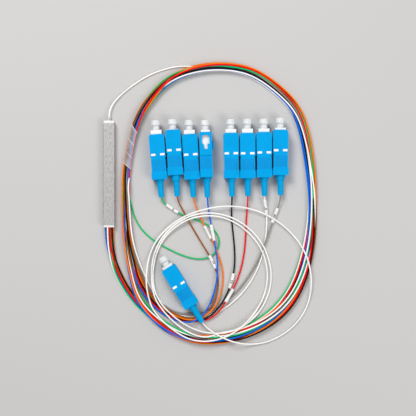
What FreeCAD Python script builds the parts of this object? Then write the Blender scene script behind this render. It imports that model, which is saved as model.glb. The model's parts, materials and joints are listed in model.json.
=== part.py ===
"""Fibre splitter: one input and eight outputs, each on an SC-style connector.

A flat steel module holds the splitter chip. The input fibre leaves one end and the eight
output fibres the other. They run together round a large oval, the input makes small loops
of its own inside it, and nine connectors lie in a row and inside the oval.

Frame: millimetres, +Z up. The origin is the centre of the module's underside, and the
module's length lies along Y, with the input end at +Y.
A connector's own frame: its axis is Y, +Y is the front, y = 0 is the front face of its
plug frame, and its key is on the -Z side.
"""
import FreeCAD
import Part
import math
import os
import Sketcher
from FreeCAD import Placement, Rotation, Vector

doc = FreeCAD.newDocument("fibre_splitter")
sheet = doc.addObject("Spreadsheet::Sheet", "sizes")

# ---------------------------------------------------------------- driving dimensions, in mm
SIZES = {
    # module
    "tube_length": 60, "tube_width": 7, "tube_height": 4, "tube_wall": 0.4, "tube_corner": 0.6,
    "seal_inside": 4, "seal_proud": 1.6, "seal_fit": 0.05, "seal_round": 0.5,
    "relief_length": 2.4, "relief_radius": 1.0,
    "carrier_length": 44, "carrier_width": 4.6, "carrier_height": 0.6,
    "chip_length": 12, "chip_width": 2.4, "chip_height": 1.0,
    "lid_length": 10, "lid_height": 0.9,
    "array_width": 2.8, "array_height": 1.9,
    "input_array_length": 5, "output_array_length": 8,
    "bare_radius": 0.125, "bare_pitch": 0.27,
    # buffered fibre, its number sleeves and the two coils
    "fibre_radius": 0.45, "fibre_gap": 0.05, "bore_fit": 0.05,
    "lead_pitch": 1.3, "lead_rows": 1.4,
    "sleeve_length": 9, "sleeve_radius": 0.95,
    "coil_height": 1.8, "coil_gap": 0.15,
    "input_coil_x": 59.5, "input_coil_y": -60.6, "input_coil_outer": 35.8,
    "input_coil_inner": 32.8, "input_coil_height": 0.9,
    "film_length": 23, "film_middle": 15.6, "film_wall": 0.3, "film_fit": 0.05,
    # ferrule
    "pin_radius": 1.25, "pin_proud": 1.85, "pin_chamfer": 0.25,
    "flange_radius": 2.15, "flange_front": 5.3, "flange_length": 2,
    "stem_radius": 1.3, "stem_end": 12.7, "ferrule_travel": 1,
    # plug frame
    "frame_width": 6.3, "frame_height": 5.4, "frame_length": 22,
    "frame_bore": 2.2, "frame_bore_depth": 4.5, "shoulder_radius": 1.45,
    "shoulder_end": 5.2, "chamber_radius": 2.4,
    "ear_half": 3.6, "ear_front": 11, "ear_back": 16.5,
    "latch_front": 3.9, "latch_back": 5.1, "latch_depth": 0.6,
    # spring, stop body and boot
    "spring_outer": 2.0, "spring_inner": 1.6, "spring_fit": 0.05,
    "stop_front": 14, "stop_fit": 0.03, "stop_bore": 0.8,
    "barrel_radius": 1.9, "barrel_end": 28.2,
    "boot_front": 25, "boot_radius": 2.9, "boot_collar": 3.5, "boot_step_radius": 2.5,
    "boot_step": 1.5, "boot_neck_radius": 1.9, "boot_neck": 1.4,
    "boot_end_radius": 1.55, "boot_end": 39.7, "boot_fit": 0.05,
    # dust cap
    "cap_skirt": 3.6, "cap_neck_radius": 2.1, "cap_neck": 2.9, "cap_rim_radius": 2.8,
    "cap_knob": 2.9, "cap_tip_radius": 2.4, "cap_bore": 1.3, "cap_bore_depth": 5.85,
    # grip
    "grip_width": 9, "grip_height": 7.4, "grip_length": 26.6, "grip_corner": 1,
    "grip_fit": 0.1, "ear_slot_front": 8.2, "ear_slot_back": 16.8,
    "nick_front": 13.8, "nick_back": 14.6, "nick_depth": 0.5,
    "waist_width": 8.5, "waist_back": 22, "flare_width": 9.2, "flare_front": 22.4,
    "rear_width": 7.2, "rear_height": 6.2, "rear_spare": 1, "grip_float": 2.5,
    "window_width": 4.45, "window_front": 1.8, "window_back": 7.1, "window_corner": 0.8,
    "window_neck": 2.2, "window_end": 10,
    "key_width": 2.2, "key_height": 0.9, "key_front": 5.3, "key_back": 10.3,
    "mark_inner": 1.33, "mark_outer": 4.0, "mark_length": 1.4, "mark_middle": 12,
    "rib_first": 15.5, "rib_groove": 0.55, "rib_pitch": 1.1, "rib_depth": 0.3,
    "rib_count": 6, "rib_width": 7.3, "rib_side": 6.3,
    # where the connectors lie
    "row_left": 28, "row_right": 72,
}
for row, (alias, value) in enumerate(SIZES.items(), start=1):
    sheet.set("A%d" % row, alias)
    sheet.set("B%d" % row, str(value))
    sheet.setAlias("B%d" % row, alias)
doc.recompute()


class Size:
    """A length as its value now and as the expression that keeps it tied to the sheet."""

    def __init__(self, value, text):
        self.value = value
        self.text = text

    def combine(self, other, sign, result):
        text = other.text if isinstance(other, Size) else repr(other)
        return Size(result, "(%s %s %s)" % (self.text, sign, text))

    def __add__(self, other):
        return self.combine(other, "+", self.value + number(other))

    def __sub__(self, other):
        return self.combine(other, "-", self.value - number(other))

    def __mul__(self, other):
        return self.combine(other, "*", self.value * number(other))

    def __truediv__(self, other):
        return self.combine(other, "/", self.value / number(other))

    def __neg__(self):
        return self * -1


def number(length):
    """The value of a Size, or the plain number itself."""
    return length.value if isinstance(length, Size) else float(length)


def size(alias):
    """A driving dimension from the sheet."""
    return Size(float(sheet.get(alias)), "sizes." + alias)


def bind(thing, path, length):
    """Tie one property of an object to the sheet."""
    if isinstance(length, Size):
        thing.setExpression(path, length.text)


# ---------------------------------------------------------------- sketches and features
def new_body(name):
    return doc.addObject("PartDesign::Body", name)


def add_sketch(body, name, plane, offset=None):
    """A sketch on one of the body's own planes; offset lifts it along the plane's normal."""
    sketch = body.newObject("Sketcher::SketchObject", name)
    support = [f for f in body.Origin.OriginFeatures if f.Role == plane][0]
    sketch.AttachmentSupport = [(support, "")]
    sketch.MapMode = "FlatFace"
    if offset is not None:
        sketch.AttachmentOffset = Placement(Vector(0, 0, number(offset)), Rotation())
        bind(sketch, "AttachmentOffset.Base.z", offset)
    return sketch


def add_polygon(sketch, corners):
    """A closed outline with each corner's two coordinates tied to the sheet."""
    first = sketch.GeometryCount
    count = len(corners)
    points = [Vector(number(across), number(along), 0) for across, along in corners]
    for index in range(count):
        sketch.addGeometry(Part.LineSegment(points[index], points[(index + 1) % count]))
    for index in range(count):
        joined = first + (index + 1) % count
        sketch.addConstraint(Sketcher.Constraint("Coincident", first + index, 2, joined, 1))
    for index, corner in enumerate(corners):
        for kind, length in zip(("DistanceX", "DistanceY"), corner):
            constraint = Sketcher.Constraint(kind, -1, 1, first + index, 1, number(length))
            place = sketch.addConstraint(constraint)
            bind(sketch, "Constraints[%d]" % place, length)


def rectangle(left, right, low, high):
    return [(left, low), (right, low), (right, high), (left, high)]


def add_pad(body, sketch, length, both_ways=False, backwards=False):
    pad = body.newObject("PartDesign::Pad", sketch.Name + "_pad")
    pad.Profile = sketch
    pad.Length = number(length)
    bind(pad, "Length", length)
    pad.Midplane = both_ways
    pad.Reversed = backwards
    doc.recompute()
    return pad


def add_pocket(body, sketch, length, both_ways=False, backwards=False):
    """A pocket that is checked to have taken material away."""
    before = body.Shape.Volume
    pocket = body.newObject("PartDesign::Pocket", sketch.Name + "_pocket")
    pocket.Profile = sketch
    pocket.Length = number(length)
    bind(pocket, "Length", length)
    pocket.Midplane = both_ways
    pocket.Reversed = backwards
    doc.recompute()
    if not body.Shape.Volume < before:
        raise ValueError(pocket.Name + " cuts nothing")
    return pocket


def add_revolution(body, sketch, cuts=False):
    """Turn a profile (radius, place along the axis) about the connector's axis."""
    kind = "PartDesign::Groove" if cuts else "PartDesign::Revolution"
    before = body.Shape.Volume if cuts else 0
    turned = body.newObject(kind, sketch.Name + "_turned")
    turned.Profile = sketch
    turned.ReferenceAxis = (sketch, ["V_Axis"])
    turned.Angle = 360
    doc.recompute()
    if cuts and not body.Shape.Volume < before:
        raise ValueError(turned.Name + " cuts nothing")
    return turned


def turned_body(name, profile):
    """A body that is one turned profile."""
    body = new_body(name)
    sketch = add_sketch(body, name + "_profile", "XY_Plane")
    add_polygon(sketch, profile)
    add_revolution(body, sketch)
    return body


def add_box(name, width, length, height, low_y, low_z):
    """A plain block, centred on X, that starts at low_y and stands on low_z."""
    block = doc.addObject("Part::Box", name)
    for path, value in (("Length", width), ("Width", length), ("Height", height)):
        bind(block, path, value)
    block.Placement = Placement(Vector(-number(width) / 2, number(low_y), number(low_z)),
                                Rotation())
    bind(block, "Placement.Base.x", -width / 2)
    bind(block, "Placement.Base.y", low_y)
    bind(block, "Placement.Base.z", low_z)
    return block


# ---------------------------------------------------------------- module
half_tube = size("tube_length") / 2
floor_z = size("tube_wall")
inner_width = size("tube_width") - size("tube_wall") * 2
inner_height = size("tube_height") - size("tube_wall") * 2
seal_inner_y = half_tube - size("seal_inside")
seal_outer_y = half_tube + size("seal_proud")
chip_z = floor_z + size("carrier_height")
light_z = chip_z + size("chip_height")


def long_edges(shape):
    """Names of the straight edges that run along Y."""
    names = []
    for index, edge in enumerate(shape.Edges, start=1):
        run = edge.Vertexes[-1].Point - edge.Vertexes[0].Point
        if abs(run.y) > 0.99 * run.Length > 0:
            names.append("Edge%d" % index)
    return names


def make_steel_tube():
    body = new_body("steel_tube")
    half_width = size("tube_width") / 2
    outside = add_sketch(body, "tube_outside", "XZ_Plane")
    add_polygon(outside, rectangle(-half_width, half_width, 0, size("tube_height")))
    pad = add_pad(body, outside, size("tube_length"), both_ways=True)
    rounded = body.newObject("PartDesign::Fillet", "tube_corners")
    rounded.Base = (pad, long_edges(pad.Shape))
    rounded.Radius = number(size("tube_corner"))
    bind(rounded, "Radius", size("tube_corner"))
    doc.recompute()
    inside = add_sketch(body, "tube_inside", "XZ_Plane")
    half_inner = inner_width / 2
    add_polygon(inside, rectangle(-half_inner, half_inner, floor_z, floor_z + inner_height))
    add_pocket(body, inside, size("tube_length") * 2, both_ways=True)
    return body


def make_end_seal(name, side):
    """A white end plug; side is +1 at the input end and -1 at the output end."""
    body = new_body(name)
    half_width = inner_width / 2 - size("seal_fit")
    low = floor_z + size("seal_fit")
    section = add_sketch(body, name + "_section", "XZ_Plane", seal_outer_y * -side)
    add_polygon(section, rectangle(-half_width, half_width, low,
                                   low + inner_height - size("seal_fit") * 2))
    pad = add_pad(body, section, size("seal_inside") + size("seal_proud"),
                  backwards=side < 0)
    outer_face = max(pad.Shape.Faces, key=lambda face: face.CenterOfMass.y * side)
    names = []
    for index, edge in enumerate(pad.Shape.Edges, start=1):
        if any(edge.isSame(rim) for rim in outer_face.Edges):
            names.append("Edge%d" % index)
    rounded = body.newObject("PartDesign::Fillet", name + "_rim")
    rounded.Base = (pad, names)
    rounded.Radius = number(size("seal_round"))
    bind(rounded, "Radius", size("seal_round"))
    doc.recompute()
    return body


def make_bare_fibre(name, radius, start_y, end_y, place_x, place_z):
    """One bare glass fibre, a rod along Y."""
    rod = doc.addObject("Part::Cylinder", name)
    rod.Radius = number(radius)
    bind(rod, "Radius", radius)
    bind(rod, "Height", end_y - start_y)
    rod.Placement = Placement(Vector(number(place_x), number(start_y), number(place_z)),
                              Rotation(Vector(1, 0, 0), -90))
    bind(rod, "Placement.Base.x", place_x)
    bind(rod, "Placement.Base.y", start_y)
    bind(rod, "Placement.Base.z", place_z)
    return rod


def make_module():
    """The splitter's steel tube and everything in it."""
    chip_end = size("chip_length") / 2
    input_end = chip_end + size("input_array_length")
    output_end = chip_end + size("output_array_length")
    nodes = [
        make_steel_tube(),
        make_end_seal("end_seal_input", 1),
        make_end_seal("end_seal_output", -1),
        add_box("carrier_plate", size("carrier_width"), size("carrier_length"),
                size("carrier_height"), -size("carrier_length") / 2, floor_z),
        add_box("splitter_chip", size("chip_width"), size("chip_length"),
                size("chip_height"), -chip_end, chip_z),
        add_box("chip_lid", size("chip_width"), size("lid_length"), size("lid_height"),
                -size("lid_length") / 2, light_z),
        add_box("input_fibre_array", size("array_width"), size("input_array_length"),
                size("array_height"), chip_end, chip_z),
        add_box("output_fibre_array", size("array_width"), size("output_array_length"),
                size("array_height"), -output_end, chip_z),
        make_bare_fibre("bare_input_fibre", size("bare_radius"), input_end, seal_inner_y,
                        0, light_z),
    ]
    ribbon = []
    for index in range(8):
        ribbon.append(make_bare_fibre("bare_output_fibre_%d" % (index + 1),
                                      size("bare_radius"), -seal_inner_y, -output_end,
                                      size("bare_pitch") * (index - 3.5), light_z))
    nodes.append(group("ribbon_fibres", ribbon))
    return nodes


def group(name, members):
    """Several separate solids that share one node."""
    together = doc.addObject("Part::Compound", name)
    together.Links = members
    return together


# ---------------------------------------------------------------- connector pieces
def make_ferrule_form():
    """White ceramic pin, hexagonal flange and stem."""
    pin = size("pin_radius")
    body = turned_body("ferrule_form", [
        (0, size("pin_proud")), (pin - size("pin_chamfer"), size("pin_proud")),
        (pin, size("pin_proud") - size("pin_chamfer")), (pin, -size("flange_front")),
        (size("stem_radius"), -size("flange_front")),
        (size("stem_radius"), -size("stem_end")), (0, -size("stem_end"))])
    flange = add_sketch(body, "flange_section", "XZ_Plane", size("flange_front"))
    corners = []
    for step in range(6):
        angle = math.radians(60 * step)
        corners.append((size("flange_radius") * math.cos(angle),
                        size("flange_radius") * math.sin(angle)))
    add_polygon(flange, corners)
    add_pad(body, flange, size("flange_length"))
    return body


def make_plug_frame_form():
    """White inner housing: a block bored for the cap and the spring, with side ears."""
    body = new_body("plug_frame_form")
    half_width = size("frame_width") / 2
    half_height = size("frame_height") / 2
    section = add_sketch(body, "frame_section", "XZ_Plane")
    add_polygon(section, rectangle(-half_width, half_width, -half_height, half_height))
    add_pad(body, section, size("frame_length"))
    ears = add_sketch(body, "frame_ears", "XY_Plane")
    add_polygon(ears, rectangle(-size("ear_half"), size("ear_half"),
                                -size("ear_back"), -size("ear_front")))
    add_pad(body, ears, size("frame_height") - size("grip_fit") * 2, both_ways=True)
    bore = add_sketch(body, "frame_bores", "XY_Plane")
    add_polygon(bore, [
        (0, 0), (size("frame_bore"), 0), (size("frame_bore"), -size("frame_bore_depth")),
        (size("shoulder_radius"), -size("frame_bore_depth")),
        (size("shoulder_radius"), -size("shoulder_end")),
        (size("chamber_radius"), -size("shoulder_end")),
        (size("chamber_radius"), -size("frame_length")), (0, -size("frame_length"))])
    add_revolution(body, bore, cuts=True)
    latch = add_sketch(body, "frame_latches", "XY_Plane")
    bottom = half_width - size("latch_depth")
    back, front = -size("latch_back"), -size("latch_front")
    add_polygon(latch, rectangle(bottom, size("frame_width"), back, front))
    add_polygon(latch, rectangle(-size("frame_width"), -bottom, back, front))
    add_pocket(body, latch, size("frame_height") * 2, both_ways=True)
    return body


def make_spring_form():
    """The ferrule's spring, as a sleeve of its inner and outer diameter."""
    front = -(size("flange_front") + size("flange_length") + size("spring_fit"))
    back = -size("stop_front")
    return turned_body("spring_form", [
        (size("spring_inner"), front), (size("spring_outer"), front),
        (size("spring_outer"), back), (size("spring_inner"), back)])


def make_stop_form():
    """Metal stop body: it closes the plug frame behind the spring and carries the boot."""
    body_radius = size("chamber_radius") - size("stop_fit")
    return turned_body("stop_form", [
        (size("stop_bore"), -size("stop_front")), (body_radius, -size("stop_front")),
        (body_radius, -size("frame_length")), (size("barrel_radius"), -size("frame_length")),
        (size("barrel_radius"), -size("barrel_end")), (size("stop_bore"), -size("barrel_end"))])


def make_boot_form():
    """Strain relief: a collar over the barrel and a long taper down to the fibre."""
    collar_end = size("boot_front") + size("boot_collar")
    step_end = collar_end + size("boot_step")
    neck_end = step_end + size("boot_neck")
    seat = size("barrel_radius") + size("boot_fit")
    seat_end = -(size("barrel_end") + size("boot_fit"))
    bore = size("fibre_radius") + size("bore_fit")
    return turned_body("boot_form", [
        (seat, -size("boot_front")), (size("boot_radius"), -size("boot_front")),
        (size("boot_radius"), -collar_end), (size("boot_step_radius"), -step_end),
        (size("boot_neck_radius"), -neck_end), (size("boot_end_radius"), -size("boot_end")),
        (bore, -size("boot_end")), (bore, seat_end), (seat, seat_end)])


def make_cap_form():
    """Clear dust cap: a bored neck that slides into the plug frame and a round knob."""
    rim = size("cap_neck")
    tip = rim + size("cap_knob")
    bore_end = size("cap_bore_depth") - size("cap_skirt")
    return turned_body("cap_form", [
        (0, tip), (size("cap_tip_radius"), tip), (size("cap_rim_radius"), rim),
        (size("cap_neck_radius"), rim), (size("cap_neck_radius"), -size("cap_skirt")),
        (size("cap_bore"), -size("cap_skirt")), (size("cap_bore"), bore_end), (0, bore_end)])


def grip_outline():
    """The grip from above: chamfered front, nick, waist and flared end."""
    right = [
        (size("grip_width") / 2 - size("grip_corner"), 0),
        (size("grip_width") / 2, -size("grip_corner")),
        (size("grip_width") / 2, -size("nick_front")),
        (size("grip_width") / 2 - size("nick_depth"), -size("nick_front")),
        (size("grip_width") / 2 - size("nick_depth"), -size("nick_back")),
        (size("waist_width") / 2, -size("nick_back")),
        (size("waist_width") / 2, -size("waist_back")),
        (size("flare_width") / 2, -size("flare_front")),
        (size("flare_width") / 2, -size("grip_length"))]
    left = [(-across, along) for across, along in reversed(right)]
    return right + left


def cut_grip_inside(body):
    """The passage for the plug frame, with slots for its ears and a wider rear."""
    half_width = size("frame_width") / 2 + size("grip_fit")
    half_height = size("frame_height") / 2 + size("grip_fit")
    passage = add_sketch(body, "grip_passage", "XZ_Plane")
    add_polygon(passage, rectangle(-half_width, half_width, -half_height, half_height))
    add_pocket(body, passage, size("grip_length") * 2, both_ways=True)
    rear = add_sketch(body, "grip_rear", "XZ_Plane", size("grip_length"))
    add_polygon(rear, rectangle(-size("rear_width") / 2, size("rear_width") / 2,
                                -size("rear_height") / 2, size("rear_height") / 2))
    add_pocket(body, rear, size("grip_length") + size("grip_float") + size("rear_spare")
               - size("boot_front"))
    slots = add_sketch(body, "grip_ear_slots", "XY_Plane")
    reach = size("ear_half") + size("grip_fit")
    add_polygon(slots, rectangle(-reach, reach, -size("ear_slot_back"),
                                 -size("ear_slot_front")))
    add_pocket(body, slots, size("frame_height"), both_ways=True)


def cut_grip_windows(body):
    """A T-shaped latch window through each narrow side, and two slots opposite the key."""
    wide, neck = size("window_width") / 2, size("window_neck") / 2
    front, back, end = -size("window_front"), -size("window_back"), -size("window_end")
    corner = size("window_corner")
    window = add_sketch(body, "grip_window", "YZ_Plane")
    add_polygon(window, [
        (front, -wide + corner), (front, wide - corner), (front - corner, wide),
        (back, wide), (back, neck), (end, neck), (end, -neck), (back, -neck),
        (back, -wide), (front - corner, -wide)])
    add_pocket(body, window, size("grip_width") * 2, both_ways=True)
    marks = add_sketch(body, "grip_marks", "XY_Plane")
    low = -(size("mark_middle") + size("mark_length") / 2)
    high = -(size("mark_middle") - size("mark_length") / 2)
    add_polygon(marks, rectangle(size("mark_inner"), size("mark_outer"), low, high))
    add_polygon(marks, rectangle(-size("mark_outer"), -size("mark_inner"), low, high))
    add_pocket(body, marks, size("grip_height"), backwards=True)


def add_grip_key(body):
    key = add_sketch(body, "grip_key", "XY_Plane", -size("grip_height") / 2)
    add_polygon(key, rectangle(-size("key_width") / 2, size("key_width") / 2,
                               -size("key_back"), -size("key_front")))
    add_pad(body, key, size("key_height"), backwards=True)


def cut_grip_ribs(body):
    """Finger grooves across all four sides of the waist, repeated along the grip."""
    section = add_sketch(body, "grip_groove", "XZ_Plane", size("rib_first"))
    top = size("grip_height") / 2
    side = size("waist_width") / 2
    half_top, half_side = size("rib_width") / 2, size("rib_side") / 2
    depth = size("rib_depth")
    add_polygon(section, rectangle(-half_top, half_top, top - depth, top * 2))
    add_polygon(section, rectangle(-half_top, half_top, -top * 2, depth - top))
    add_polygon(section, rectangle(side - depth, side * 2, -half_side, half_side))
    add_polygon(section, rectangle(-side * 2, depth - side, -half_side, half_side))
    groove = add_pocket(body, section, size("rib_groove"), backwards=True)
    pattern = body.newObject("PartDesign::LinearPattern", "grip_grooves")
    pattern.Originals = [groove]
    pattern.Direction = (section, ["N_Axis"])
    pattern.Occurrences = int(number(size("rib_count")))
    bind(pattern, "Occurrences", size("rib_count"))
    reach = size("rib_pitch") * (size("rib_count") - 1)
    pattern.Length = number(reach)
    bind(pattern, "Length", reach)
    body.Tip = pattern
    doc.recompute()


def make_grip_form():
    """Blue outer housing, slid over the plug frame."""
    body = new_body("grip_form")
    outline = add_sketch(body, "grip_outline", "XY_Plane")
    add_polygon(outline, grip_outline())
    add_pad(body, outline, size("grip_height"), both_ways=True)
    add_grip_key(body)
    cut_grip_inside(body)
    cut_grip_windows(body)
    cut_grip_ribs(body)
    return body


# ---------------------------------------------------------------- where the connectors lie
FLARE = number(size("flare_width"))
TALL = number(size("grip_height"))
ROW_LEFT = number(size("row_left"))
ROW_RIGHT = number(size("row_right"))
# name: x and y of the plug frame's front, lean to the left in degrees, how far the grip
# stands back from that front, and whether the connector lies on its narrow side
CONNECTORS = {
    "1": (ROW_LEFT, 25.8, 4.4, 2.4, False),
    "2": (ROW_LEFT + FLARE + 0.6, 26.4, 3.8, 0.3, False),
    "3": (ROW_LEFT + 2 * FLARE + 1.2, 25.9, 3.4, 2.4, False),
    "4": (ROW_LEFT + 2.5 * FLARE + 0.5 * TALL + 2.3, 25.8, 1.8, 1.2, True),
    "5": (ROW_RIGHT, 26.4, 1.1, 2.2, False),
    "6": (ROW_RIGHT + FLARE + 0.6, 26.6, 0.5, 2.4, False),
    "7": (ROW_RIGHT + 2 * FLARE + 1.1, 26.7, 0.7, 2.0, False),
    "8": (ROW_RIGHT + 3 * FLARE + 1.6, 27.2, 0.4, 1.2, False),
    "input": (34.3, -53.9, 31.8, 1.3, False),
}


def key_down_pose():
    """Pitch and height of a grip that rests on the back of its key and its rear edge."""
    key_height = number(size("key_height"))
    key_back = number(size("key_back"))
    pitch = math.atan(key_height / (number(size("grip_length")) - key_back))
    below = TALL / 2 + key_height
    return pitch, key_back * math.sin(pitch) + below * math.cos(pitch)


def connector_placement(name):
    front_x, front_y, lean, setback, on_side = CONNECTORS[name]
    turn = Rotation(Vector(0, 0, 1), lean)
    if on_side:
        height = FLARE / 2
        turn = turn * Rotation(Vector(0, 1, 0), -90)
    else:
        pitch, height = key_down_pose()
        height += setback * math.sin(pitch)
        turn = turn * Rotation(Vector(1, 0, 0), math.degrees(pitch))
    return Placement(Vector(front_x, front_y, height), turn)


def placed(form, name, connector, back=0):
    """A copy of a connector piece at one connector, moved back along its axis."""
    copy = doc.addObject("Part::Compound", name)
    copy.Links = [form]
    copy.Placement = connector_placement(connector).multiply(
        Placement(Vector(0, -back, 0), Rotation()))
    return copy


def make_connectors():
    nodes = []
    inner_forms = {"plug_frame": make_plug_frame_form(), "ferrule_spring": make_spring_form(),
                   "boot": make_boot_form()}
    stop_form = make_stop_form()
    for form_name, form in inner_forms.items():
        copies = [placed(form, form_name + "_" + name, name) for name in CONNECTORS]
        nodes.append(group(form_name + "s", copies))
    copies = [placed(stop_form, "stop_body_" + name, name) for name in CONNECTORS]
    nodes.append(group("stop_bodies", copies))
    cap_form, ferrule_form, grip_form = make_cap_form(), make_ferrule_form(), make_grip_form()
    for name, (_, _, _, setback, _) in CONNECTORS.items():
        nodes.append(placed(cap_form, "dust_cap_" + name, name))
        nodes.append(placed(ferrule_form, "ferrule_" + name, name))
        nodes.append(placed(grip_form, "grip_" + name, name, back=setback))
    return nodes


# ---------------------------------------------------------------- cords
RADIUS = number(size("fibre_radius"))
LOW = RADIUS                                    # centre of a fibre on the floor
OVER = LOW + 2 * RADIUS + number(size("fibre_gap")) + 0.02   # centre of one over another
SLEEVED = number(size("sleeve_radius"))         # centre of a number sleeve on the floor
STRAIGHT_OUT = 2.5                              # how far a fibre leaves its boot straight
IN_BOOT = 2.0                                   # how far its tube reaches into the boot
ARC_SHARE = 0.45                                # of the shorter run, taken by each arc


def tangent_path(points):
    """Straight runs joined by tangent arcs as large as the runs allow."""
    edges = []
    radii = []
    start = points[0]
    for before, corner, after in zip(points, points[1:], points[2:]):
        into = (corner - before).normalize()
        out = (after - corner).normalize()
        reach = ARC_SHARE * min(before.distanceToPoint(corner), corner.distanceToPoint(after))
        half_turn = into.getAngle(out) / 2
        radius = reach / math.tan(half_turn)
        centre = corner + (out - into).normalize() * math.hypot(radius, reach)
        arc_start, arc_end = corner - into * reach, corner + out * reach
        middle = centre + (corner - centre).normalize() * radius
        edges.append(Part.LineSegment(start, arc_start).toShape())
        edges.append(Part.Arc(arc_start, middle, arc_end).toShape())
        radii.append(radius)
        start = arc_end
    edges.append(Part.LineSegment(start, points[-1]).toShape())
    return Part.Wire(edges), radii


def make_tube(name, points):
    """A round fibre along a route, with its volume checked against section times length."""
    points = [Vector(*point) for point in points]
    path, radii = tangent_path(points)
    circle = Part.makeCircle(RADIUS, points[0], points[1] - points[0])
    tube = path.makePipeShell([Part.Wire(circle)], True, False)
    expected = math.pi * RADIUS ** 2 * path.Length
    print("%-20s length %6.1f  smallest radius %5.1f" % (name, path.Length, min(radii)))
    if abs(tube.Volume / expected - 1) > 0.01:
        raise ValueError(name + " has the wrong volume")
    return tube


def make_cord(name, routes):
    """One fibre node from its routes, each a separate tube."""
    tubes = [make_tube("%s %d" % (name, index + 1), route)
             for index, route in enumerate(routes)]
    cord = doc.addObject("Part::Feature", name)
    cord.Shape = tubes[0] if len(tubes) == 1 else Part.makeCompound(tubes)
    return cord


def beside(points, offset):
    """The same route, moved sideways; a positive offset is to the left of the travel."""
    moved = []
    for index, (point_x, point_y, point_z) in enumerate(points):
        before = points[max(index - 1, 0)]
        after = points[min(index + 1, len(points) - 1)]
        run_x, run_y = after[0] - before[0], after[1] - before[1]
        run = math.hypot(run_x, run_y)
        moved.append((point_x - run_y / run * offset, point_y + run_x / run * offset, point_z))
    return moved


def into_boot(name):
    """The last two points of a fibre: straight behind its boot, and inside the boot."""
    pose = connector_placement(name)
    boot_end = number(size("boot_end"))
    return [tuple(pose.multVec(Vector(0, -boot_end - STRAIGHT_OUT, 0))),
            tuple(pose.multVec(Vector(0, -boot_end + IN_BOOT, 0)))]


# the output fibres between the module and the large coil, four abreast in two rows
SEAL_Y = -number(seal_outer_y)
SEAL_Z = number(size("tube_height")) / 2
LEAD_IN = [(0, SEAL_Y), (0, -37.5), (1.3, -46.8), (4.1, -56.2), (8.6, -65.7),
           (14.8, -74.6), (21.9, -81.7)]
# the seven outputs that leave the coil together at the lower left
TRUNK = [(18.4, -62.8, LOW), (24.0, -72.5, LOW), (31.4, -80.2, LOW), (40.3, -85.0, LOW),
         (49.1, -86.1, LOW)]
TRUNK_ORDER = ["2", "3", "4", "5", "6", "7", "8"]     # from the inner side outwards
# each output from the trunk (or from the coil's left side, output 1) to its connector
TAILS = {
    "1": [(10.4, -3.6, LOW), (11.2, -13.0, LOW), (13.5, -22.6, LOW), (18.6, -32.0, LOW),
          (26.0, -38.8, LOW), (34.9, -44.1, LOW), (43.6, -48.4, LOW), (52.4, -50.8, LOW),
          (60.2, -50.6, LOW), (66.3, -47.0, LOW), (68.4, -41.2, LOW), (65.4, -35.6, LOW),
          (58.9, -31.9, LOW), (51.8, -29.4, LOW), (46.6, -27.4, LOW), (42.2, -25.9, 1.1),
          (36.4, -23.6, 1.4), (33.0, -20.9, 2.2)],
    "2": [(55.4, -81.6, LOW), (60.4, -76.4, LOW), (62.6, -69.6, LOW), (62.4, -62.8, SLEEVED),
          (60.8, -55.8, SLEEVED), (59.2, -52.6, OVER), (57.1, -48.4, OVER), (53.6, -42.0, LOW),
          (51.4, -36.6, 0.8), (49.9, -31.0, OVER), (47.5, -25.8, OVER), (43.6, -20.6, 2.0)],
    "3": [(56.1, -82.7, LOW), (61.7, -77.2, LOW), (64.2, -69.8, LOW), (64.4, -62.4, LOW),
          (63.4, -55.6, 0.8), (62.3, -51.8, OVER), (60.7, -47.2, OVER), (58.8, -41.6, SLEEVED),
          (56.5, -34.9, SLEEVED), (55.4, -32.2, OVER), (53.8, -27.4, OVER), (52.3, -22.4, 1.5)],
    "4": [(56.8, -83.8, LOW), (62.9, -78.2, LOW), (65.9, -70.6, LOW), (66.7, -62.4, LOW),
          (66.4, -55.4, 0.8), (65.7, -50.6, OVER), (64.3, -44.6, OVER), (62.5, -36.8, OVER),
          (61.1, -30.6, OVER), (59.7, -25.6, OVER), (58.7, -21.0, OVER)],
    "5": [(57.5, -84.9, LOW), (64.3, -80.2, LOW), (69.1, -73.4, LOW), (71.9, -65.9, SLEEVED),
          (73.9, -57.6, SLEEVED), (74.7, -48.9, LOW), (74.3, -40.2, LOW), (73.4, -31.2, LOW),
          (72.9, -23.2, 1.2)],
    "6": [(58.2, -86.0, LOW), (65.6, -82.0, LOW), (71.6, -74.8, SLEEVED),
          (75.8, -66.2, SLEEVED), (78.4, -56.8, LOW), (80.3, -46.6, LOW), (81.5, -36.2, LOW),
          (81.9, -27.0, 0.8), (82.3, -21.4, 1.8)],
    "7": [(58.9, -87.1, LOW), (67.3, -84.0, LOW), (75.4, -77.4, LOW), (82.3, -68.8, LOW),
          (87.3, -59.2, LOW), (90.3, -49.4, LOW), (91.7, -39.6, LOW), (92.3, -30.8, 1.1),
          (92.5, -22.6, 1.7)],
    "8": [(59.6, -88.3, LOW), (69.0, -85.9, LOW), (78.2, -79.3, LOW), (85.8, -70.4, LOW),
          (91.6, -60.2, LOW), (95.2, -49.6, LOW), (96.9, -39.6, LOW), (98.4, -30.2, 1.1),
          (100.4, -22.0, 1.6)],
}
# where the number sleeve lies on each tail: it sits on the run nearest this place
SLEEVE_AT = {"1": (39.3, -24.8), "2": (61.6, -59.3), "3": (57.6, -38.2), "4": (63.4, -40.7),
             "5": (72.9, -61.8), "6": (73.7, -70.5), "7": (92.4, -26.7), "8": (99.4, -26.1)}
# where each output leaves the module: column from -X to +X, upper row (1) or lower row (-1)
LEAD_PLACES = {"1": (1, -1), "2": (0, -1), "3": (3, -1), "4": (0, 1),
               "5": (3, 1), "6": (2, 1), "7": (1, 1), "8": (2, -1)}

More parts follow.
